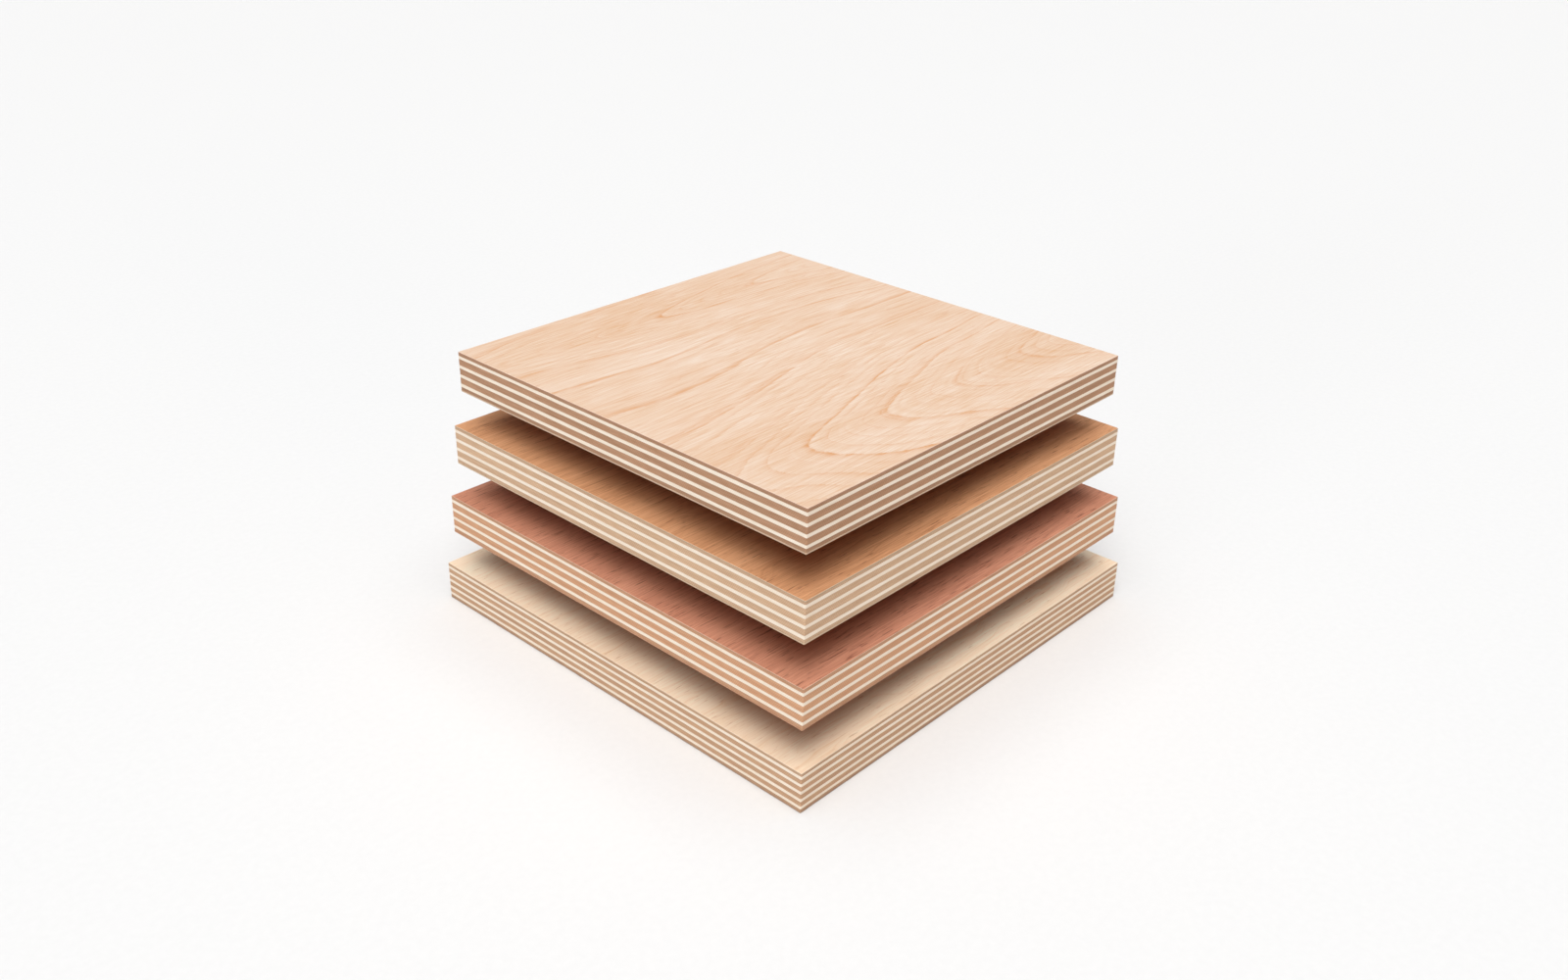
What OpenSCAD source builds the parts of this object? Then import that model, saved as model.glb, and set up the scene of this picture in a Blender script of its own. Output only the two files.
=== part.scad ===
// Stack of square plywood sample sheets, held apart by short wooden spacers.
// Origin: centre of the stack's footprint, on the floor. +Z is up, and the face
// grain of every sheet runs along X. Sheet 1 is the top sheet.
// All sizes are in millimetres.

/* [Stack] */
// Thickness of each sheet
sheet_t = 18; // [15:1:24]
// Side of the square top sheet
top_side = 198; // [150:1:300]
// How much wider each sheet is than the one above it
side_step = 6; // [0:1:12]
// Air gap between one sheet and the next
gap = 16; // [8:1:30]

/* [Plies] */
// Core plies in each sheet, from the top sheet down (an odd number)
core_plies = [9, 9, 9, 11]; // [7:2:13]
// Thickness of a pale core ply in each sheet, from the top sheet down
pale_t = [1.5, 1.5, 1.5, 1.35]; // [1:0.05:1.6]
// Thickness of the face veneer, which is sanded thinner than the back
face_veneer_t = 0.45; // [0.3:0.05:1]
// Thickness of the back veneer
back_veneer_t = 0.75; // [0.3:0.05:1]
// Thickness of the uppermost dark ply, as a share of an inner dark ply's
top_share = 0.4; // [0.3:0.05:1]
// Thickness of the lowest dark ply, as a share of an inner dark ply's
bottom_share = 0.55; // [0.3:0.05:1]

/* [Spacers] */
// Width of a spacer
spacer_w = 20; // [12:1:40]
// Length of a spacer
spacer_l = 96; // [60:1:110]
// Distance between the centre lines of a pair of spacers
spacer_pitch = 56; // [44:1:70]

/* [Hidden] */
sheets = len(core_plies);
sides = ["left", "right"];

face_colours = ["#F0D2B6", "#DBA67C", "#CF8E72", "#EBD0B0"];
dark_colours = ["#9C7860", "#C09C7C", "#C29472", "#B08E6E"];
pale_colour = "#F0E2CC";
spacer_colour = "#C2A078";

// Node names
function face_name(s) = str("sheet_", s, "_face_veneer");
function ply_name(s, p) = str("sheet_", s, "_ply_", p);
function back_name(s) = str("sheet_", s, "_back_veneer");
function spacer_name(g, side) = str("spacer_", g, "_", side);
function sheet_nodes(s) = [
    face_name(s),
    for (p = [1 : core_plies[s - 1]]) ply_name(s, p),
    back_name(s)
];

// A sheet's side, and the height of its underside
function sheet_side(s) = top_side + (s - 1) * side_step;
function sheet_z(s) = (sheets - s) * (sheet_t + gap);

// Core plies alternate dark and pale, starting and ending with a thin dark one.
// The dark plies share what the veneers and the pale plies leave of the sheet.
function is_pale(p) = p % 2 == 0;
function pale_total(s) = pale_t[s - 1] * (core_plies[s - 1] - 1) / 2;
function dark_total(s) = sheet_t - face_veneer_t - back_veneer_t - pale_total(s);
function dark_shares(s) = (core_plies[s - 1] - 3) / 2 + top_share + bottom_share;
function dark_t(s) = dark_total(s) / dark_shares(s);
function ply_t(s, p) =
    is_pale(p) ? pale_t[s - 1] :
    p == 1 ? dark_t(s) * top_share :
    p == core_plies[s - 1] ? dark_t(s) * bottom_share :
    dark_t(s);

// Depth of a core ply's top below the sheet's face
function ply_depth(s, p) =
    p == 1 ? face_veneer_t : ply_depth(s, p - 1) + ply_t(s, p - 1);

// A square layer of sheet s, whose top lies depth below the sheet's face
module layer(s, depth, thickness) {
    side = sheet_side(s);
    translate([-side / 2, -side / 2, sheet_z(s) + sheet_t - depth - thickness])
        cube([side, side, thickness]);
}

// The sheet's show face: thin, with its grain along X
module face_veneer(s) {
    color(face_colours[s - 1]) layer(s, 0, face_veneer_t);
}

// One ply of the core, counted down from the face
module core_ply(s, p) {
    color(is_pale(p) ? pale_colour : dark_colours[s - 1])
        layer(s, ply_depth(s, p), ply_t(s, p));
}

// The veneer under the sheet
module back_veneer(s) {
    color(face_colours[s - 1]) layer(s, sheet_t - back_veneer_t, back_veneer_t);
}

// A spacer in gap g, counted down from the top, lying across the face grain
module spacer(g, side) {
    centre_x = (side == "left" ? -1 : 1) * spacer_pitch / 2;
    color(spacer_colour)
        translate([centre_x - spacer_w / 2, -spacer_l / 2, sheet_z(g) - gap])
            cube([spacer_w, spacer_l, gap]);
}

for (s = [1 : sheets]) {
    face_veneer(s);
    for (p = [1 : core_plies[s - 1]])
        core_ply(s, p);
    back_veneer(s);
}
for (g = [1 : sheets - 1], side = sides)
    spacer(g, side);
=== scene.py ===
# %% [markdown]
# # A stack of plywood sample sheets
#
# Four square panels of plywood lie one above another, with air between them. Each
# panel is a sandwich: a thin face veneer, a core of dark and pale plies whose grain
# runs crosswise by turns, and a back veneer. On the real board you see the face as a
# wood figure and the sawn edge as stripes.
#
# The lesson builds each ply as its own surface, worked out with numpy around the CAD
# model's boxes, and then gives each kind of wood a procedural material.

# %% Load the CAD model
import math

import bpy
import numpy as np
from mathutils import Matrix, Vector


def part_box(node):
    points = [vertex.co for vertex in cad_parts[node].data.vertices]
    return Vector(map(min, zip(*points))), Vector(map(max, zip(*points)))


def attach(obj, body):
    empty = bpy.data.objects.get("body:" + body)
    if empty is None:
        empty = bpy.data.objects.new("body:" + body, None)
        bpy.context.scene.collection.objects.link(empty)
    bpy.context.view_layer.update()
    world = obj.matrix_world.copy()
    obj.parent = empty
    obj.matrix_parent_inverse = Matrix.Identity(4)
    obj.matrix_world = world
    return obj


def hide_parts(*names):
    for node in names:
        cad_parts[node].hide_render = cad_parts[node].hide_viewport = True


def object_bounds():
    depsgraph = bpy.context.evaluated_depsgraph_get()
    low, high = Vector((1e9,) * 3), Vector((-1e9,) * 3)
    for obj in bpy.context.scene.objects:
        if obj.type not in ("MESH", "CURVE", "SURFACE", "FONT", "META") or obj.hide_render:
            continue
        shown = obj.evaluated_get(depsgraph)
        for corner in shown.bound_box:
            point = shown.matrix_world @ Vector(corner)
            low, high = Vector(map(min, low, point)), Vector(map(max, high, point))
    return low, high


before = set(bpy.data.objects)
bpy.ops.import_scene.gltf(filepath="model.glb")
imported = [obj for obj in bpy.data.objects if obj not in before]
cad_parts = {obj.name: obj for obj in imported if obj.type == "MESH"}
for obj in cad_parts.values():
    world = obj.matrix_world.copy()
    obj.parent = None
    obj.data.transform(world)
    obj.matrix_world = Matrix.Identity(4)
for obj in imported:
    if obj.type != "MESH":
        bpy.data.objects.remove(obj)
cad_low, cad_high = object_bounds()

MM = 0.001
SHEETS = 4
node_names = sorted(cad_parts)
CORE_PLIES = [
    sum(f"sheet_{s}_ply_" in name for name in node_names) for s in range(1, SHEETS + 1)
]
print("core plies from the top sheet down:", CORE_PLIES)
print("overall size in mm:", [round(v / MM, 2) for v in cad_high - cad_low])

# %% [markdown]
# ## The camera
#
# The stack is looked at corner on, from a little above. A camera could be placed by
# typing a position, but an aim point, two angles and a distance are easier to read and
# to change. The camera is also rolled a little over a degree, so it isn't quite level.

# %% Camera
AZIMUTH = math.radians(-47.6)
ELEVATION = math.radians(27.2)
ROLL = math.radians(1.3)
DISTANCE = 641 * MM
LENS_MM = 33.3
SENSOR_MM = 36.0
CLIP_START = 10 * MM
AIM_OFFSET = Vector((-2.6, 0.0, -3.9)) * MM


def add_camera():
    """A camera on a sphere round the aim point: azimuth 0 looks along +Y."""
    aim = (cad_low + cad_high) / 2 + AIM_OFFSET
    back = Vector(
        (
            math.sin(AZIMUTH) * math.cos(ELEVATION),
            -math.cos(AZIMUTH) * math.cos(ELEVATION),
            math.sin(ELEVATION),
        )
    )
    data = bpy.data.cameras.new("camera")
    data.lens = LENS_MM
    data.sensor_width = SENSOR_MM
    data.clip_start = CLIP_START
    camera = bpy.data.objects.new("camera", data)
    bpy.context.scene.collection.objects.link(camera)
    turn = (-back).to_track_quat("-Z", "Y").to_matrix().to_4x4()
    place = Matrix.Translation(aim + back * DISTANCE)
    camera.matrix_world = place @ turn @ Matrix.Rotation(ROLL, 4, "Z")
    bpy.context.scene.camera = camera
    return camera


camera = add_camera()
print("camera at", [round(v, 3) for v in camera.location])

# %% [markdown]
# ## Studio light and a white sweep
#
# Sample boards are shown in soft light from broad softboxes above and in front, on
# white paper, with a weak reflector card low on each side. Area lamps would fall off
# across the floor. Sun lamps with a wide angle give the same soft shadows with no
# fall-off, so the paper stays white to its far edge.

# %% Lights
def add_sun(name, azimuth, elevation, strength, angle, colour=(1.0, 1.0, 1.0)):
    """A lamp infinitely far away, towards azimuth and elevation in degrees."""
    data = bpy.data.lights.new(name, "SUN")
    data.energy = strength * math.pi
    data.angle = math.radians(angle)
    data.color = colour
    lamp = bpy.data.objects.new(name, data)
    a, e = math.radians(azimuth), math.radians(elevation)
    towards = Vector((math.sin(a) * math.cos(e), -math.cos(a) * math.cos(e), math.sin(e)))
    lamp.rotation_mode = "QUATERNION"
    lamp.rotation_quaternion = towards.to_track_quat("Z", "Y")
    bpy.context.scene.collection.objects.link(lamp)
    return lamp


WARM = (1.0, 0.72, 0.46)
WORLD_STRENGTH = 0.04

add_sun("top_softbox", azimuth=-60, elevation=89, strength=0.58, angle=60)
add_sun("wide_softbox", azimuth=-60, elevation=89, strength=0.18, angle=110)
add_sun("front_softbox", azimuth=-52, elevation=52, strength=0.44, angle=36)
add_sun("key_softbox", azimuth=-84, elevation=50, strength=0.07, angle=50)
add_sun("left_card", azimuth=-86, elevation=3, strength=0.24, angle=20)
add_sun("right_card", azimuth=-8, elevation=3, strength=0.14, angle=20, colour=WARM)

world = bpy.data.worlds.new("studio_air")
world.use_nodes = True
world.node_tree.nodes["Background"].inputs["Color"].default_value = (1.0, 1.0, 1.0, 1.0)
world.node_tree.nodes["Background"].inputs["Strength"].default_value = WORLD_STRENGTH
bpy.context.scene.world = world
bpy.context.scene.view_settings.view_transform = "Standard"
bpy.context.scene.view_settings.look = "None"
print("lamps:", [data.name for data in bpy.data.lights])

# %% [markdown]
# ## The paper
#
# The stack stands on a sheet of matt paper.

# %% Floor
FLOOR_HALF = 25.0


def flat_square(name, half, z):
    """One level face, from minus half to plus half in X and Y, facing up."""
    mesh = bpy.data.meshes.new(name)
    corners = [(-half, -half, z), (half, -half, z), (half, half, z), (-half, half, z)]
    mesh.from_pydata(corners, [], [(0, 1, 2, 3)])
    square = bpy.data.objects.new(name, mesh)
    bpy.context.scene.collection.objects.link(square)
    return square


floor = flat_square("paper_sweep", FLOOR_HALF, cad_low.z)
print("floor at z =", round(cad_low.z, 5))

# %% [markdown]
# ## A slab as one surface
#
# Every ply, veneer and spacer is a flat slab with a rectangular outline. A cube with a
# Bevel would do for one, but a sawn ply edge isn't flat: each layer stands a few
# hundredths of a millimetre in or out, and its glue lines wander. So a slab is made as
# a profile carried round a path. The path is the outline, with tiny rounded corners,
# and the profile climbs from the middle of the underside, up the edge, to the middle of
# the top. Both are arrays, so the whole surface is one formula.

# %% The path: a rectangle with rounded corners
CORNER_R = 0.5 * MM
CORNER_STEPS = 4


def rounded_outline(low, high, spacing):
    """Points and outward normals, anticlockwise, round a rectangle from low to high.

    Each side is a straight run of points about one spacing apart. Each corner is a
    quarter circle of radius CORNER_R: centre plus radius times (cos, sin) of the angle,
    and (cos, sin) is the normal there too.
    """
    points, normals = [], []
    inner_low, inner_high = low + CORNER_R, high - CORNER_R
    centres = [
        (inner_high[0], inner_low[1], -90),
        (inner_high[0], inner_high[1], 0),
        (inner_low[0], inner_high[1], 90),
        (inner_low[0], inner_low[1], 180),
    ]
    for k, (cx, cy, start) in enumerate(centres):
        angles = np.radians(start + np.linspace(0, 90, CORNER_STEPS + 1))
        ring = np.stack([np.cos(angles), np.sin(angles)], axis=1)
        points.append(np.array([cx, cy]) + CORNER_R * ring)
        normals.append(ring)
        nx, ny, _ = centres[(k + 1) % 4]
        side_start, side_end = points[-1][-1], np.array([nx, ny]) + CORNER_R * ring[-1]
        steps = max(2, round(float(np.linalg.norm(side_end - side_start)) / spacing))
        share = np.arange(1, steps)[:, None] / steps
        points.append(side_start + (side_end - side_start) * share)
        normals.append(np.repeat(ring[-1:], steps - 1, axis=0))
    return np.concatenate(points), np.concatenate(normals)

# %% [markdown]
# ## Noise as an array
#
# Blender's noise textures live in the shader and can't move a vertex from here, and
# mathutils.noise takes one point at a time. Value noise is easy to write for a whole
# array at once: random numbers on a grid, blended smoothly in between. Each use has its
# own seed, so the result is the same on every run.

# %% The noise that roughens it
TABLE = 128


def smooth_noise(x, y, seed):
    """Value noise from -1 to 1: a random number at each whole-number point of the
    plane, blended in between by the S-curve 3t^2 - 2t^3 of the distance past it."""
    table = np.random.default_rng(seed).uniform(-1, 1, (TABLE, TABLE))
    i, j = np.floor(x).astype(int), np.floor(y).astype(int)
    u, v = x - i, y - j
    u, v = u * u * (3 - 2 * u), v * v * (3 - 2 * v)
    i0, i1, j0, j1 = i % TABLE, (i + 1) % TABLE, j % TABLE, (j + 1) % TABLE
    near = table[i0, j0] * (1 - u) + table[i1, j0] * u
    far = table[i0, j1] * (1 - u) + table[i1, j1] * u
    return near * (1 - v) + far * v

# %% [markdown]
# ## From rows of points to a closed mesh
#
# A profile carried round a path gives rows of points, one row for each step of the
# profile. bmesh could bridge the rows one by one. Working out all the face indices as one
# array is shorter and faster, and the two poles close the top and the underside.

# %% The surface: rows of the profile round the path
SHARP_ANGLE = math.radians(40)


def closed_rows(name, rows, bottom, top, attributes):
    """A closed mesh from rows of points: rows[j, i] is point i of row j.

    Neighbouring rows are joined by quads, the first row to the point bottom and the
    last to the point top by triangles, so the surface has no hole. attributes maps a
    name to an array of one number for each row and point; the poles take the mean of
    their row.
    """
    count_j, count_i, _ = rows.shape
    points = np.concatenate([rows.reshape(-1, 3), [bottom, top]])
    j, i = np.meshgrid(np.arange(count_j - 1), np.arange(count_i), indexing="ij")
    after = (i + 1) % count_i
    quads = np.stack(
        [j * count_i + i, j * count_i + after, (j + 1) * count_i + after, (j + 1) * count_i + i],
        axis=-1,
    ).reshape(-1, 4)
    ring = np.arange(count_i)
    after = (ring + 1) % count_i
    pole_low, pole_high = len(points) - 2, len(points) - 1
    last = (count_j - 1) * count_i
    under = np.stack([after, ring, np.full(count_i, pole_low)], axis=1)
    over = np.stack([last + ring, last + after, np.full(count_i, pole_high)], axis=1)
    mesh = bpy.data.meshes.new(name)
    mesh.from_pydata(points.tolist(), [], quads.tolist() + under.tolist() + over.tolist())
    mesh.shade_smooth()
    mesh.set_sharp_from_angle(angle=SHARP_ANGLE)
    for label, values in attributes.items():
        full = np.concatenate([values.ravel(), [values[0].mean(), values[-1].mean()]])
        layer = mesh.attributes.new(label, "FLOAT", "POINT")
        layer.data.foreach_set("value", full.astype(np.float32))
    piece = bpy.data.objects.new(name, mesh)
    bpy.context.scene.collection.objects.link(piece)
    return piece

# %% [markdown]
# ## The core plies
#
# A core ply shows only its edge. The saw leaves it slightly rough, the softer plies a
# touch lower than the harder ones, and the glue line above and below it isn't quite
# straight. Each ply carries two attributes for its material: glue, which is 1 on the
# glue lines and 0 a little way in, and tone, which is the ply's own lightness, because
# no two veneers come off the log the same.

# %% Core ply shape
EDGE_SPACING = 1.0 * MM
GLUE_LINE = 0.12 * MM
SAW_RELIEF = 0.05 * MM
PLY_STEP = 0.05 * MM
GLUE_WANDER = 0.10 * MM


def glue_height(outline, seed):
    """How far a glue line wanders up or down, at each point of the outline: a long
    wave, and a short one a third as high."""
    x, y = outline[:, 0] / MM, outline[:, 1] / MM
    long_wave = smooth_noise(x / 31, y / 31, seed)
    short_wave = smooth_noise(x / 7, y / 7, seed + 1)
    return GLUE_WANDER * (0.75 * long_wave + 0.25 * short_wave)


def saw_marks(outline, seed):
    """How far the sawn edge lies inside the true outline: never less than nothing."""
    x, y = outline[:, 0] / MM, outline[:, 1] / MM
    rough = smooth_noise(x / 2.3, y / 2.3, seed) + smooth_noise(x / 9, y / 9, seed + 1)
    return SAW_RELIEF * (1 + 0.5 * rough)


def core_ply(node, seed, glue_below, glue_above, step_in, tone):
    """A ply between two wandering glue lines, each given as heights round the outline."""
    low, high = (np.array(v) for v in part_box(node))
    outline, normals = rounded_outline(low[:2], high[:2], EDGE_SPACING)
    middle = (low[:2] + high[:2]) / 2
    below, above = low[2] + glue_below, high[2] + glue_above
    levels = [below, below + GLUE_LINE, (below + above) / 2, above - GLUE_LINE, above]
    rows = []
    for j, level in enumerate(levels):
        inset = step_in + saw_marks(outline, seed + 10 * j)
        flat = outline - normals * inset[:, None]
        rows.append(np.column_stack([flat, level]))
    rows = np.array(rows)
    glue = np.zeros(rows.shape[:2])
    glue[[0, -1]] = 1
    attributes = {"glue": glue, "tone": np.full(glue.shape, tone)}
    return closed_rows(f"{node}_wood", rows, [*middle, low[2]], [*middle, high[2]], attributes)

# %% [markdown]
# ## The veneers
#
# A face veneer is under half a millimetre thick. Its edge is sawn with the core's, and its
# top arris is softened by sanding, which is what catches the light along the rim of the
# real sheet. Under it, the same curve turned over makes the back veneer. The flat side is
# divided finely, because the figure is stored at its points.

# %% Veneer shape
ARRIS_R = 0.25 * MM
ARRIS_STEPS = 4
CAP_SPACING = 2.0 * MM
BACK_SPACING = 20.0 * MM
BACK_TONE = 0.05


def veneer(node, seed, glue_line, face_up, rings_of):
    """A face or back veneer: flat on its show side, with a softened arris.

    The profile is worked out as if the show side were up: up the edge from the glue
    line, round the arris on a quarter circle, and in across the face in steps of
    CAP_SPACING, or BACK_SPACING on a back, which has no figure. A back veneer is the
    same profile turned over, so its rows are reversed to keep the faces outwards.
    """
    low, high = (np.array(v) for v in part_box(node))
    outline, normals = rounded_outline(low[:2], high[:2], EDGE_SPACING)
    middle = (low[:2] + high[:2]) / 2
    inset = saw_marks(outline, seed)
    glued, shown = (low[2], high[2]) if face_up else (high[2], low[2])
    up = 1 if face_up else -1
    turns = np.linspace(0, math.pi / 2, ARRIS_STEPS + 1)
    rows = [np.column_stack([outline - normals * inset[:, None], glued + glue_line])]
    for turn in turns:
        depth = inset + ARRIS_R * (1 - math.cos(turn))
        level = np.full(len(outline), shown - up * ARRIS_R * (1 - math.sin(turn)))
        rows.append(np.column_stack([outline - normals * depth[:, None], level]))
    rim = rows[-1][:, :2]
    reach = float(np.abs(rim - middle).max())
    step = (CAP_SPACING if face_up else BACK_SPACING) / reach
    shares = np.concatenate([[1 - ARRIS_R / reach], np.arange(1 - step, 0.01, -step)])
    for share in shares:
        flat = middle + (rim - middle) * share
        rows.append(np.column_stack([flat, np.full(len(outline), shown)]))
    rows = np.array(rows)
    if not face_up:
        rows = rows[::-1]
    rings = rings_of(rows[..., 0] / MM, rows[..., 1] / MM)
    tone = np.full(rings.shape, 1.0 if face_up else BACK_TONE)
    poles = [[*middle, glued], [*middle, shown]]
    bottom, top = poles if face_up else poles[::-1]
    attributes = {"rings": rings, "tone": tone}
    return closed_rows(f"{node}_wood", rows, bottom, top, attributes)

# %% [markdown]
# ## The figure of the faces
#
# The figure is where the growth rings of the log meet the cut. Across a face the ring
# number is a smooth landscape, and the dark lines are its contour lines. Where the cut
# runs along the heart of the log the landscape is a long valley that slopes gently
# along the grain, and its contours are the nested arches called a cathedral. Noise
# textures can't make an arch, so the landscape is a formula, kept in the mesh as the
# attribute rings, and the material draws a line at each whole number.

# %% Ring landscapes
FRONT_Y, RIDGE_Y, BACK_Y = 69, 22, 74
RIDGE_RINGS = 3.5


def floor_height(x):
    """Rings counted along the front valley's floor: nearly level at the narrow end, then
    rising by one ring every 42 mm. A hyperbola bends from one to the other."""
    return 0.024 * ((x + 93) + np.sqrt((x + 93) ** 2 + 30**2)) / 2 - 0.95


def rise(share):
    """From 0 at the ridge to 1 at a valley's floor."""
    return np.clip(share, 0, 1) ** 1.35


def cathedral_rings(x, y):
    """Two valleys along X, a wide one at the front and a narrow one at the back, with a
    level ridge between them. How far a point is from the floor, as a share of the way to
    the ridge, sets its ring number, so the arches of both open towards +X. The front
    floor is FRONT_Y mm before the middle, and the ridge and the back floor are RIDGE_Y
    and BACK_Y mm behind it. The ridge lies RIDGE_RINGS rings below zero."""
    bend = 3 * smooth_noise(x / 80 + 3.3, y / 60 + 1.7, 5) + 0.8 * smooth_noise(x / 24, y / 15, 6)
    y = y + bend
    ridge = RIDGE_Y + 8 * np.exp(-(((x - 25) / 55) ** 2))
    front, back = y + FRONT_Y, y - BACK_Y
    front = np.where(front < 0, 0.56 * front, front)
    to_front = (np.sqrt(front**2 + 8**2) - 8) / (ridge + FRONT_Y - 7)
    to_back = (np.sqrt(back**2 + 6**2) - 6) / (BACK_Y - ridge - 5)
    front_rings = (floor_height(x) + RIDGE_RINGS) * rise(1 - to_front)
    back_rings = ((x + 64) / 60 + 2.5) * rise(1 - to_back)
    slow = 0.10 * smooth_noise(x / 50 + 2.1, y / 24, 9)
    wobble = 0.06 * smooth_noise(x / 34, y / 9, 7) + 0.015 * smooth_noise(x / 12, y / 4, 8)
    return np.where(y < ridge, front_rings, back_rings) - RIDGE_RINGS + slow + wobble

# %% [markdown]
# The other three sheets show only a strip at the front, where their grain is nearly
# straight. Counting rings across the grain and letting them sway gives that figure.

# %% Straight-grained faces
def swaying_rings(seed, per_mm, sway_mm, curl):
    """Near-straight grain: rings counted across Y, swaying slowly along X, with curls of
    curl rings where the grain is restless."""

    def rings(x, y):
        sway = sway_mm * smooth_noise(x / 80 + seed, y / 50, seed)
        restless = curl * smooth_noise(x / 13, y / 9, seed + 1)
        return (y + sway) * per_mm + restless + 0.3 * smooth_noise(x / 30, y / 6, seed + 2)

    return rings


FACE_RINGS = [
    cathedral_rings,
    swaying_rings(seed=21, per_mm=1 / 7, sway_mm=9, curl=0.35),
    swaying_rings(seed=31, per_mm=1 / 5, sway_mm=5, curl=0.3),
    swaying_rings(seed=41, per_mm=1 / 10, sway_mm=12, curl=0.4),
]

# %% [markdown]
# ## Materials
#
# Wood is drawn from what it is made of. Fibres are long thin noise, stretched along the
# grain by a Mapping node whose scale is one over a real length. Pores are the peaks of
# a shorter noise. Apart from the rings, everything reads Object coordinates, so the same
# ply shows long grain on one edge and end grain on the next, as the real one does.

# %% Material helpers
def linear(hex_colour):
    """An sRGB hex colour as linear red, green, blue and alpha."""
    parts = [int(hex_colour[k : k + 2], 16) / 255 for k in (1, 3, 5)]
    return tuple(c / 12.92 if c <= 0.04045 else ((c + 0.055) / 1.055) ** 2.4 for c in parts) + (1.0,)


def add_node(tree, kind, inputs=None, **settings):
    """Adds a node with its settings. inputs maps a socket to a value, or to the output
    socket that is linked to it."""
    node = tree.nodes.new(kind)
    for name, value in settings.items():
        setattr(node, name, value)
    for key, value in (inputs or {}).items():
        if isinstance(value, bpy.types.NodeSocket):
            tree.links.new(value, node.inputs[key])
        else:
            node.inputs[key].default_value = value
    return node


WOOD_IOR = 1.5


def new_material(name, roughness):
    """An empty node material: its tree, and its Principled shader set up as wood."""
    material = bpy.data.materials.new(name)
    material.use_nodes = True
    tree = material.node_tree
    shader = tree.nodes["Principled BSDF"]
    shader.inputs["Roughness"].default_value = roughness
    shader.inputs["IOR"].default_value = WOOD_IOR
    return material, tree, shader


def set_stops(ramp, stops):
    """Gives a Color Ramp its stops: pairs of position and linear colour."""
    elements = ramp.color_ramp.elements
    while len(elements) > 1:
        elements.remove(elements[-1])
    elements[0].position, elements[0].color = stops[0]
    for position, colour in stops[1:]:
        elements.new(position).color = colour


def grey(value):
    """A linear grey, for ramps that shape a mask."""
    return (value, value, value, 1.0)

# %% [markdown]
# Three patterns come back in every wood here, so each is a helper: noise with grains of
# a given size in millimetres, a colour made lighter or darker, and one colour laid on
# another.

# %% Pattern helpers
def grain_noise(tree, place, size_mm, detail, roughness=0.55):
    """Noise whose grains are size_mm long in X, Y and Z."""
    scaled = add_node(
        tree, "ShaderNodeMapping", {"Vector": place, "Scale": [1 / (v * MM) for v in size_mm]}
    )
    noise = add_node(
        tree,
        "ShaderNodeTexNoise",
        {"Vector": scaled.outputs["Vector"], "Scale": 1.0, "Detail": detail, "Roughness": roughness},
    )
    return noise.outputs["Fac"]


def scaled_colour(tree, colour, factor):
    """A colour made lighter or darker by a factor, both given as output sockets."""
    node = add_node(
        tree, "ShaderNodeVectorMath", {"Vector": colour, "Scale": factor}, operation="SCALE"
    )
    return node.outputs["Vector"]


def painted(tree, factor, under, over):
    """The colour over laid on the colour under, where factor is 1."""
    node = add_node(
        tree, "ShaderNodeMix", {"Factor": factor, "A": under, "B": over}, data_type="RGBA"
    )
    return node.outputs["Result"]

# %% [markdown]
# ## The sawn edge
#
# On two sides of a sheet the dark plies show end grain and the pale ones long grain, and
# on the other two it is the other way round. All are dull and unfinished. Three things
# make that up: fibre noise that is long one way only, slanted
# knife checks, and the browner glue line, laid on where the mesh says that it is. A
# single brown would look like painted card.

# %% Core ply material
SAWN_ROUGHNESS = 0.78
SMEAR_MM = (14, 14, 0.9)
PATCH_MM = (5, 5, 5)
CHECK_SCALE = (700, 700, 420)


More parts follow.
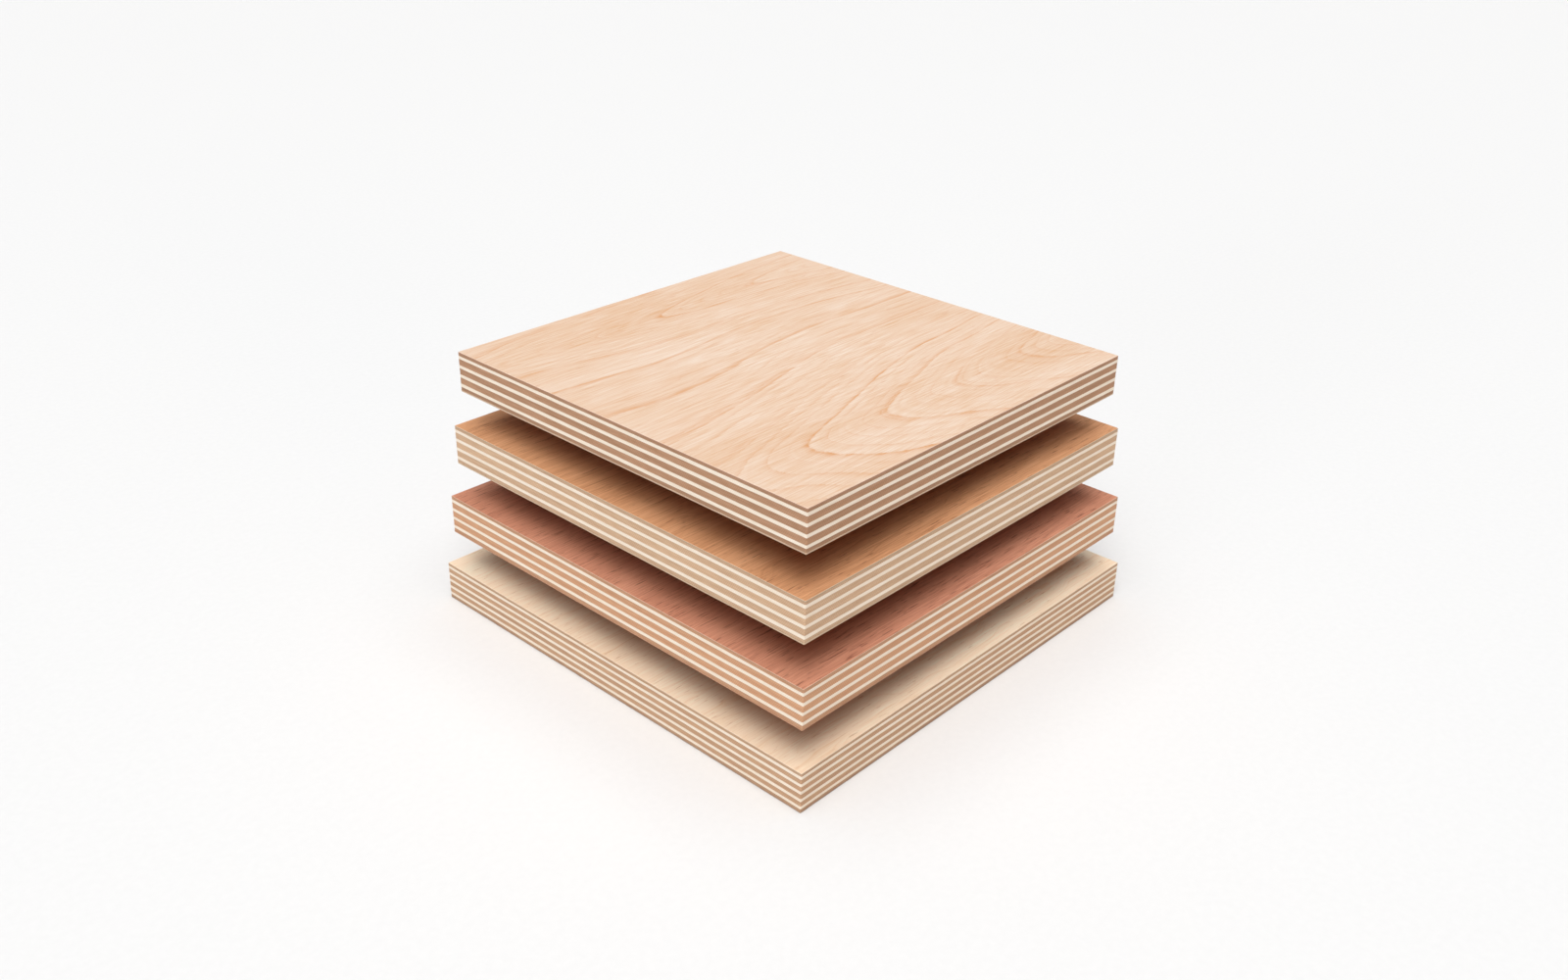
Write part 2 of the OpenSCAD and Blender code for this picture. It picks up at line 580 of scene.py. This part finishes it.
def core_material(name, dark, light, glue_colour, fibre_mm, hatch):
    """The sawn edge of a rotary-cut core veneer, unfinished.

    fibre_mm is the size of a fibre bundle in X, Y and Z: long along the ply's own grain
    and thin across it. The lathe knife leaves fine slanted checks in such a veneer, drawn
    by a Wave texture every 0.9 mm along the edge.
    """
    material, tree, shader = new_material(name, SAWN_ROUGHNESS)
    place = add_node(tree, "ShaderNodeTexCoord").outputs["Object"]
    fibres = grain_noise(tree, place, fibre_mm, detail=4)
    smears = grain_noise(tree, place, SMEAR_MM, detail=3)
    both = add_node(tree, "ShaderNodeMix", {"Factor": 0.5, "A": fibres, "B": smears})
    wood = add_node(tree, "ShaderNodeValToRGB", {"Fac": both.outputs["Result"]})
    set_stops(wood, [(0.34, linear(dark)), (0.66, linear(light))])

    steep = add_node(tree, "ShaderNodeMapping", {"Vector": place, "Scale": CHECK_SCALE})
    checks = add_node(
        tree,
        "ShaderNodeTexWave",
        {"Vector": steep.outputs["Vector"], "Scale": 1.0, "Distortion": 1.2, "Detail": 1.0},
        bands_direction="DIAGONAL",
    )
    dimmer = add_node(
        tree,
        "ShaderNodeMapRange",
        {"Value": checks.outputs["Fac"], "To Min": 1 - hatch, "To Max": 1.0},
    )
    tone = add_node(tree, "ShaderNodeAttribute", attribute_name="tone")
    shade = add_node(
        tree,
        "ShaderNodeMath",
        {0: dimmer.outputs["Result"], 1: tone.outputs["Fac"]},
        operation="MULTIPLY",
    )
    shaded = scaled_colour(tree, wood.outputs["Color"], shade.outputs["Value"])

    glue = add_node(tree, "ShaderNodeAttribute", attribute_name="glue")
    patchy = grain_noise(tree, place, PATCH_MM, detail=2)
    squeeze = add_node(
        tree, "ShaderNodeMath", {0: glue.outputs["Fac"], 1: patchy}, operation="MULTIPLY"
    )
    seamed = painted(tree, squeeze.outputs["Value"], shaded, linear(glue_colour))
    tree.links.new(seamed, shader.inputs["Base Color"])

    bump = add_node(
        tree, "ShaderNodeBump", {"Height": fibres, "Strength": 0.5, "Distance": 0.06 * MM}
    )
    tree.links.new(bump.outputs["Normal"], shader.inputs["Normal"])
    return material


ALONG_X = (5.0, 0.35, 0.35)
ALONG_Y = (0.35, 5.0, 0.35)
DARK_GLUE, PALE_GLUE = "#8A6549", "#D6BA9C"
DARK_HATCH, PALE_HATCH = 0.13, 0.06
# Birch, sawn: fine and even, a cream stripe that is the brightest part of the edge.
pale_ply = core_material("sawn_birch_ply", "#EDDCC6", "#F5E9DB", PALE_GLUE, ALONG_X, PALE_HATCH)
dark_plies = [
    # Eucalyptus, sawn: dense and close, the brownest stripes of the four.
    core_material("sawn_eucalyptus_ply", "#A67B5A", "#BD9273", DARK_GLUE, ALONG_Y, DARK_HATCH),
    # Okoume, sawn: light and open, a dull tan.
    core_material("sawn_okoume_ply", "#C7A180", "#DAB796", DARK_GLUE, ALONG_Y, DARK_HATCH),
    # Meranti, sawn: the same tan with red in it.
    core_material("sawn_meranti_ply", "#C5906B", "#DAA882", DARK_GLUE, ALONG_Y, DARK_HATCH),
    # Elm, sawn: a greyer brown than the meranti.
    core_material("sawn_elm_ply", "#BA8F6F", "#CDA682", DARK_GLUE, ALONG_Y, DARK_HATCH),
]
print("core woods:", pale_ply.name, [wood.name for wood in dark_plies])

# %% [markdown]
# ## The figure, drawn
#
# A growth ring fades in slowly with the early wood, and ends in a sharp dark line of late
# wood. So the fraction of the ring number goes through a ramp with that shape. Rings
# aren't equally dark: the whole part of the number, put through white noise, gives each
# ring its own strength. Finer lines between the rings come from the same landscape,
# counted faster.

# %% Face veneer material
RAGGED_MM = (12, 0.8, 0.8)
RAGGED_RINGS = 0.06
BROKEN_MM = (22, 3, 3)
WEAKEST_RING = 0.12


def ring_lines(tree, place, per_ring, sharpness, offset):
    """Late wood: 0 just past a growth ring, rising to 1 at the next one, then a sharp
    drop. Each ring is as strong as chance makes it, drawn from its own number.
    per_ring above 1 counts the finer lines within the rings instead."""
    rings = add_node(tree, "ShaderNodeAttribute", attribute_name="rings")
    finer = add_node(
        tree, "ShaderNodeMath", {0: rings.outputs["Fac"], 1: per_ring}, operation="MULTIPLY"
    )
    ragged = grain_noise(tree, place, RAGGED_MM, detail=2)
    counted = add_node(
        tree,
        "ShaderNodeMath",
        {0: ragged, 1: RAGGED_RINGS * per_ring, 2: finer.outputs["Value"]},
        operation="MULTIPLY_ADD",
    )
    part = add_node(tree, "ShaderNodeMath", {0: counted.outputs["Value"]}, operation="FRACT")
    late = add_node(tree, "ShaderNodeValToRGB", {"Fac": part.outputs["Value"]})
    set_stops(
        late,
        [
            (0.0, grey(0.3)),
            (0.03, grey(0.0)),
            (0.5, grey(0.08)),
            (sharpness, grey(0.24)),
            (0.955, grey(0.75)),
            (0.98, grey(1.0)),
        ],
    )
    whole = add_node(tree, "ShaderNodeMath", {0: counted.outputs["Value"]}, operation="FLOOR")
    shifted = add_node(
        tree, "ShaderNodeMath", {0: whole.outputs["Value"], 1: offset}, operation="ADD"
    )
    chance = add_node(
        tree, "ShaderNodeTexWhiteNoise", {"W": shifted.outputs["Value"]}, noise_dimensions="1D"
    )
    strong = add_node(
        tree, "ShaderNodeMapRange", {"Value": chance.outputs["Value"], "To Min": WEAKEST_RING}
    )
    broken = grain_noise(tree, place, BROKEN_MM, detail=3)
    faded = add_node(
        tree,
        "ShaderNodeMapRange",
        {"Value": broken, "From Min": 0.35, "From Max": 0.6, "To Min": 0.3, "To Max": 1.0},
    )
    lines = add_node(
        tree,
        "ShaderNodeMath",
        {0: late.outputs["Color"], 1: strong.outputs["Result"]},
        operation="MULTIPLY",
    )
    product = add_node(
        tree,
        "ShaderNodeMath",
        {0: lines.outputs["Value"], 1: faded.outputs["Result"]},
        operation="MULTIPLY",
    )
    return product.outputs["Value"]

# %% [markdown]
# Between the rings, fine streaks follow the same curves. Plain noise can't bend with
# them, but noise that is read at the ring number can.

# %% Streaks that follow the rings
STREAKS_PER_RING = 9.0
STREAK_LENGTH = 24 * MM


def flow_streaks(tree, place):
    """Fine streaks that follow the growth rings: noise read at the ring number across
    and at the place along the grain, so that it is drawn out along each ring."""
    rings = add_node(tree, "ShaderNodeAttribute", attribute_name="rings")
    across = add_node(
        tree, "ShaderNodeMath", {0: rings.outputs["Fac"], 1: STREAKS_PER_RING}, operation="MULTIPLY"
    )
    split = add_node(tree, "ShaderNodeSeparateXYZ", {"Vector": place})
    along = add_node(
        tree, "ShaderNodeMath", {0: split.outputs["X"], 1: 1 / STREAK_LENGTH}, operation="MULTIPLY"
    )
    both = add_node(
        tree,
        "ShaderNodeCombineXYZ",
        {"X": along.outputs["Value"], "Y": across.outputs["Value"]},
    )
    noise = add_node(
        tree,
        "ShaderNodeTexNoise",
        {"Vector": both.outputs["Vector"], "Scale": 1.0, "Detail": 4.0, "Roughness": 0.6},
    )
    return noise.outputs["Fac"]

# %% [markdown]
# ## One material for both veneers of a sheet
#
# Face and back are the same material. The backs are a plain red-brown backing veneer,
# which keeps the gaps dark and warm, so the attribute tone turns the figure into that
# colour. The sawn edge of the veneer, where the surface stands upright, takes its own.
# Along the arris, a paler colour is painted on as a highlight.

# %% Veneer material
BACK_COLOUR = "#84451F"
# Real pores are under 0.3 mm wide, too fine to show, so they are drawn coarser.
PORE_MM = (9, 0.9, 0.9)
# A painted highlight: the arris is painted paler than the face, along the rim where the light
# catches it.
HIGHLIGHT_COLOUR = "#FFF1E0"
HIGHLIGHT_STRENGTH = 0.7
BUNDLE_MM = (24, 0.8, 0.8)
HAIR_MM = (13, 0.4, 0.4)
CLOUD_MM = (110, 34, 34)
FINER_PER_RING = 4.3


def face_material(
    name, tones, edge, back_edge, ring_colour, ring_depth, fleck_colour, fleck_range, offset
):
    """A sanded, unfinished veneer with its grain along X. Where the attribute tone drops
    to 0 it is the plain red-brown veneer of the backs. The cut
    edges, where the surface turns upright, show the plain colours edge and back_edge."""
    material, tree, shader = new_material(name, roughness=0.6)
    coordinates = add_node(tree, "ShaderNodeTexCoord")
    place = coordinates.outputs["Object"]
    bundles = grain_noise(tree, place, BUNDLE_MM, detail=5, roughness=0.65)
    hairs = grain_noise(tree, place, HAIR_MM, detail=3, roughness=0.6)
    grain = add_node(tree, "ShaderNodeMix", {"Factor": 0.4, "A": bundles, "B": hairs})
    fibres = grain.outputs["Result"]
    streaks = flow_streaks(tree, place)
    clouds = grain_noise(tree, place, CLOUD_MM, detail=2)
    lines = add_node(tree, "ShaderNodeMix", {"Factor": 0.15, "A": fibres, "B": streaks})
    both = add_node(
        tree, "ShaderNodeMix", {"Factor": 0.2, "A": lines.outputs["Result"], "B": clouds}
    )
    wood = add_node(tree, "ShaderNodeValToRGB", {"Fac": both.outputs["Result"]})
    set_stops(
        wood, [(0.38, linear(tones[0])), (0.5, linear(tones[1])), (0.62, linear(tones[2]))]
    )

    rings = ring_lines(tree, place, 1, 0.9, offset)
    finer = ring_lines(tree, place, FINER_PER_RING, 0.75, offset)
    all_lines = add_node(
        tree, "ShaderNodeMath", {0: finer, 1: 0.75, 2: rings}, operation="MULTIPLY_ADD"
    )
    depth = add_node(
        tree,
        "ShaderNodeMath",
        {0: all_lines.outputs["Value"], 1: ring_depth},
        operation="MULTIPLY",
        use_clamp=True,
    )
    lined = painted(tree, depth.outputs["Value"], wood.outputs["Color"], linear(ring_colour))

    pores = grain_noise(tree, place, PORE_MM, detail=3)
    flecks = add_node(
        tree,
        "ShaderNodeMapRange",
        {"Value": pores, "From Min": fleck_range[0], "From Max": fleck_range[1], "To Max": 0.75},
    )
    flecked = painted(tree, flecks.outputs["Result"], lined, linear(fleck_colour))

    tone = add_node(tree, "ShaderNodeAttribute", attribute_name="tone")
    shown = painted(tree, tone.outputs["Fac"], linear(BACK_COLOUR), flecked)
    facing = add_node(tree, "ShaderNodeSeparateXYZ", {"Vector": coordinates.outputs["Normal"]})
    level = add_node(
        tree, "ShaderNodeMath", {0: facing.outputs["Z"]}, operation="ABSOLUTE"
    )
    flat = add_node(
        tree,
        "ShaderNodeMapRange",
        {"Value": level.outputs["Value"], "From Min": 0.75, "From Max": 0.95},
    )
    upright = painted(tree, tone.outputs["Fac"], linear(back_edge), linear(edge))
    # A painted highlight: where the face turns over into the arris, the colour is painted paler.
    rim = add_node(
        tree,
        "ShaderNodeMapRange",
        {"Value": level.outputs["Value"], "From Min": 0.998, "From Max": 0.93, "To Max": HIGHLIGHT_STRENGTH},
    )
    highlighted = painted(tree, rim.outputs["Result"], shown, linear(HIGHLIGHT_COLOUR))
    cut = painted(tree, flat.outputs["Result"], upright, highlighted)
    tree.links.new(cut, shader.inputs["Base Color"])
    bump = add_node(
        tree, "ShaderNodeBump", {"Height": fibres, "Strength": 0.35, "Distance": 0.04 * MM}
    )
    tree.links.new(bump.outputs["Normal"], shader.inputs["Normal"])
    return material

# %% [markdown]
# ## Four kinds of wood
#
# From the top down the sheets are faced with pale fir, orange okoume, red meranti and
# cream poplar, all sanded and left bare. One function makes all four, and the numbers say
# how they differ: the three tones of the wood, its rings, and its pores. The offset is
# where in the white noise a face starts, so it picks which of its rings are dark.

# %% The four faces
faces = [
    # Fir, sanded: cream and silky, with thin tan latewood lines.
    face_material(
        "sanded_fir_veneer",
        tones=("#D9AE87", "#E3C7AF", "#ECDBCC"),
        edge="#A98068",
        back_edge="#CDB298",
        ring_colour="#D59A68",
        ring_depth=0.72,
        fleck_colour="#C98B5C",
        fleck_range=(0.66, 0.80),
        offset=3936.0,
    ),
    # Okoume, sanded: an even orange brown with short dark pores.
    face_material(
        "sanded_okoume_veneer",
        tones=("#BF865B", "#DB9F72", "#EBB386"),
        edge="#B59C80",
        back_edge="#CFB698",
        ring_colour="#AB6B3E",
        ring_depth=0.4,
        fleck_colour="#8A5230",
        fleck_range=(0.60, 0.74),
        offset=1016.0,
    ),
    # Meranti, sanded: red brown, coarser, with longer dark pores.
    face_material(
        "sanded_meranti_veneer",
        tones=("#B7775E", "#D39072", "#E7A687"),
        edge="#B58A6C",
        back_edge="#C3916F",
        ring_colour="#AF6A4E",
        ring_depth=0.4,
        fleck_colour="#7A3F28",
        fleck_range=(0.58, 0.72),
        offset=913.0,
    ),
    # Poplar, sanded: the palest and plainest, with a few orange flecks.
    face_material(
        "sanded_poplar_veneer",
        tones=("#EFD0B0", "#F9DFC2", "#F9EDD3"),
        edge="#B79B80",
        back_edge="#A88C76",
        ring_colour="#E2AC70",
        ring_depth=0.45,
        fleck_colour="#BE8246",
        fleck_range=(0.62, 0.74),
        offset=393.0,
    ),
]
print("face woods:", [wood.name for wood in faces])

# %% [markdown]
# ## Paper
#
# The paper is matt and uncoated, which gives a plain off-white with the faintest mottle
# of its fibres. All the shade on it comes from the lamps.

# %% Floor material
def paper_material(name):
    """Matt uncoated paper: off-white, with a faint mottle 3 mm across."""
    material, tree, shader = new_material(name, roughness=0.9)
    place = add_node(tree, "ShaderNodeTexCoord").outputs["Object"]
    mottle = grain_noise(tree, place, (3, 3, 3), detail=2)
    paper = add_node(tree, "ShaderNodeValToRGB", {"Fac": mottle})
    set_stops(paper, [(0.3, linear("#E5E5E5")), (0.7, linear("#E7E7E7"))])
    tree.links.new(paper.outputs["Color"], shader.inputs["Base Color"])
    return material


floor.data.materials.append(paper_material("uncoated_matt_paper"))

# %% [markdown]
# ## Pine
#
# The spacers are planed softwood, which gives brown latewood lines along their length.
# They lie deep in the shadow of the gaps, so one noise and one ramp are enough. The
# lines run along Y, as the strips do, so the noise is long that way.

# %% Pine
def pine_material(name):
    """Planed softwood: pale, with browner latewood lines along Y."""
    material, tree, shader = new_material(name, roughness=0.65)
    place = add_node(tree, "ShaderNodeTexCoord").outputs["Object"]
    lines = grain_noise(tree, place, (2.5, 90, 2.5), detail=4)
    wood = add_node(tree, "ShaderNodeValToRGB", {"Fac": lines})
    late, middle, early = linear("#A97E50"), linear("#CDA673"), linear("#DDBC8C")
    set_stops(wood, [(0.35, late), (0.5, middle), (0.65, early)])
    tree.links.new(wood.outputs["Color"], shader.inputs["Base Color"])
    return material


pine = pine_material("planed_pine")

# %% [markdown]
# ## Putting the sheets together
#
# Neighbouring plies share a glue line, so each line's heights are worked out once and
# given to the ply below it and the ply above it. That leaves no crack and no overlap.

# %% Build the sheets
PALE_TONE = 1.0
TONE_SPREAD = 0.05
OUTER_TONE = 0.9


def ply_tones(count, seed):
    """The lightness of each dark ply of a sheet: 1, more or less by chance up to
    TONE_SPREAD, and the outermost two darker."""
    tones = 1 + TONE_SPREAD * np.random.default_rng(seed).uniform(-1, 1, count)
    tones[[0, -1]] *= OUTER_TONE
    return tones


def finish_piece(piece, node, material):
    """Gives a piece its material, parents it to the root body, and hides the CAD node that it stands
    for.
    """
    piece.data.materials.append(material)
    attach(piece, "root")
    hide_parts(node)
    return piece


def build_sheet(s):
    """Every layer of sheet s, from the face veneer down to the back veneer."""
    plies = CORE_PLIES[s - 1]
    face, back = f"sheet_{s}_face_veneer", f"sheet_{s}_back_veneer"
    low, high = (np.array(v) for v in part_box(face))
    outline, _ = rounded_outline(low[:2], high[:2], EDGE_SPACING)
    seams = [glue_height(outline, 1000 * s + 10 * k) for k in range(plies + 1)]
    rings_of = FACE_RINGS[s - 1]
    dark_tones = ply_tones((plies + 1) // 2, s)
    finish_piece(veneer(face, 100 * s, seams[0], True, rings_of), face, faces[s - 1])
    for p in range(1, plies + 1):
        node = f"sheet_{s}_ply_{p}"
        pale = p % 2 == 0
        step_in = 0.0 if pale else PLY_STEP
        tone = PALE_TONE if pale else dark_tones[p // 2]
        piece = core_ply(node, 100 * s + 7 * p, seams[p], seams[p - 1], step_in, tone)
        finish_piece(piece, node, pale_ply if pale else dark_plies[s - 1])
    finish_piece(veneer(back, 100 * s + 99, seams[plies], False, rings_of), back, faces[s - 1])
    return plies + 2


for s in range(1, SHEETS + 1):
    print("sheet", s, "has", build_sheet(s), "layers")

# %% [markdown]
# ## The spacers
#
# Short planed strips keep the sheets apart, set well back from the edges. They are
# slabs too, with both arrises softened.

# %% Build the spacers
def spacer(node):
    """A planed strip: the profile goes round both arrises on quarter circles."""
    low, high = (np.array(v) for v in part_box(node))
    outline, normals = rounded_outline(low[:2], high[:2], 2 * EDGE_SPACING)
    middle = (low[:2] + high[:2]) / 2
    turns = np.linspace(0, math.pi / 2, ARRIS_STEPS + 1)
    rows = []
    for turn in turns[::-1]:
        flat = outline - normals * ARRIS_R * (1 - math.cos(turn))
        level = np.full(len(flat), low[2] + ARRIS_R * (1 - math.sin(turn)))
        rows.append(np.column_stack([flat, level]))
    for turn in turns:
        flat = outline - normals * ARRIS_R * (1 - math.cos(turn))
        level = np.full(len(flat), high[2] - ARRIS_R * (1 - math.sin(turn)))
        rows.append(np.column_stack([flat, level]))
    return closed_rows(f"{node}_wood", np.array(rows), [*middle, low[2]], [*middle, high[2]], {})


spacer_nodes = [name for name in node_names if name.startswith("spacer_")]
for node in spacer_nodes:
    finish_piece(spacer(node), node, pine)
print("spacers:", len(spacer_nodes))
